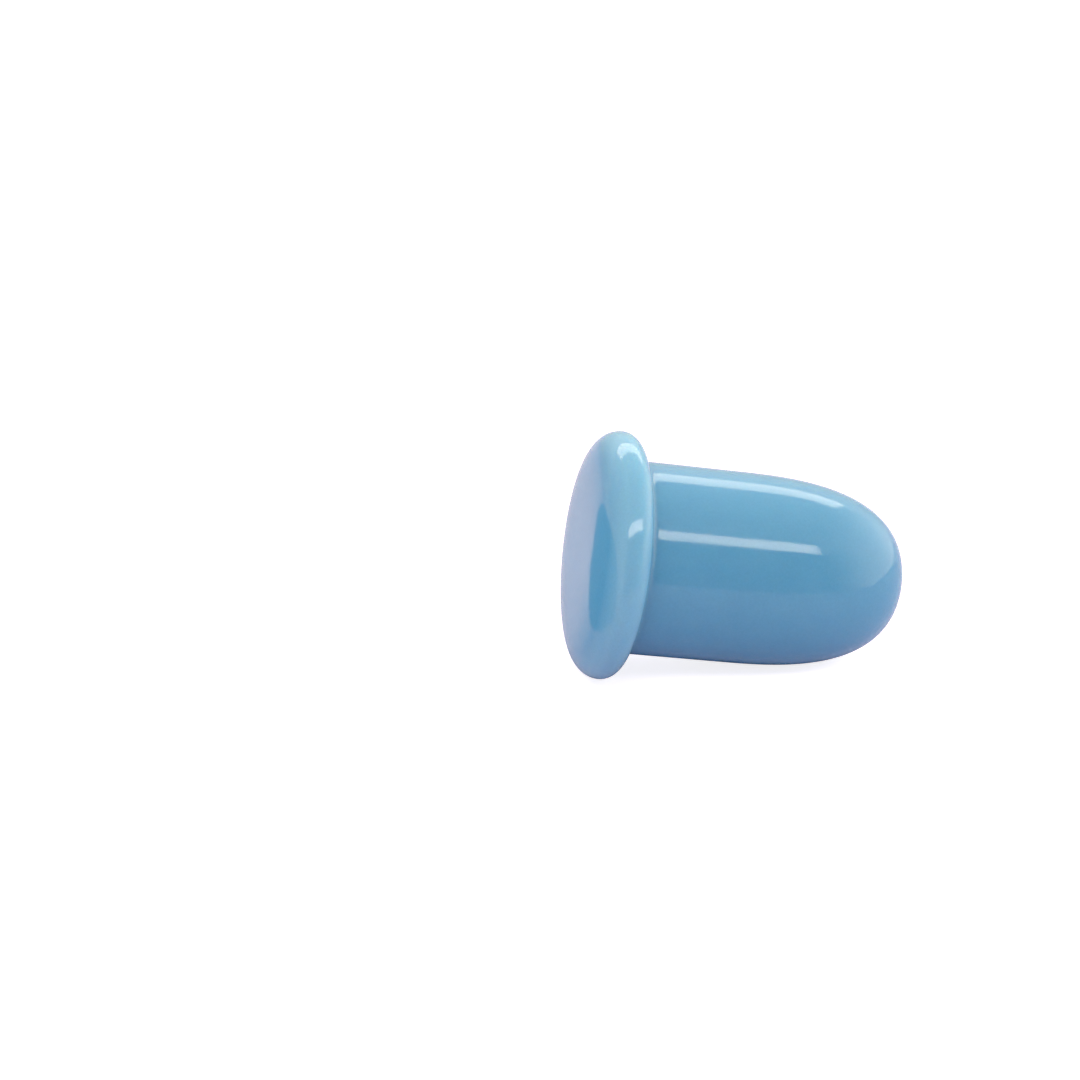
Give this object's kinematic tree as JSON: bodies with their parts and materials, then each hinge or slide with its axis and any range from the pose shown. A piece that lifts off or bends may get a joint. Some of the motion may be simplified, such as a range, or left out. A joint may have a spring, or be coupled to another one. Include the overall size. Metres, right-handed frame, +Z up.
{
  "type": "massage cup",
  "caption": "Closed mushroom-form massage cup in glossy milky silicone: a gently domed round head with a thick rolled edge on a bullet-shaped grip, lying on its side.",
  "frame": {"origin": "middle of the resting cup's box, at ground level", "axes": "+Z up from the ground the cup lies on; +X along the lying cup towards its rounded nose, with the cup's own axis dipping 8.85 degrees below +X; the domed face looks towards -X"},
  "size_m": [0.069, 0.05, 0.0495],
  "materials": {
    "silicone": "gloss"
  },
  "bodies": {
    "root": {"domed_face": "silicone", "rolled_edge": "silicone", "grip_barrel": "silicone", "grip_nose": "silicone"}
  },
  "joints": []
}
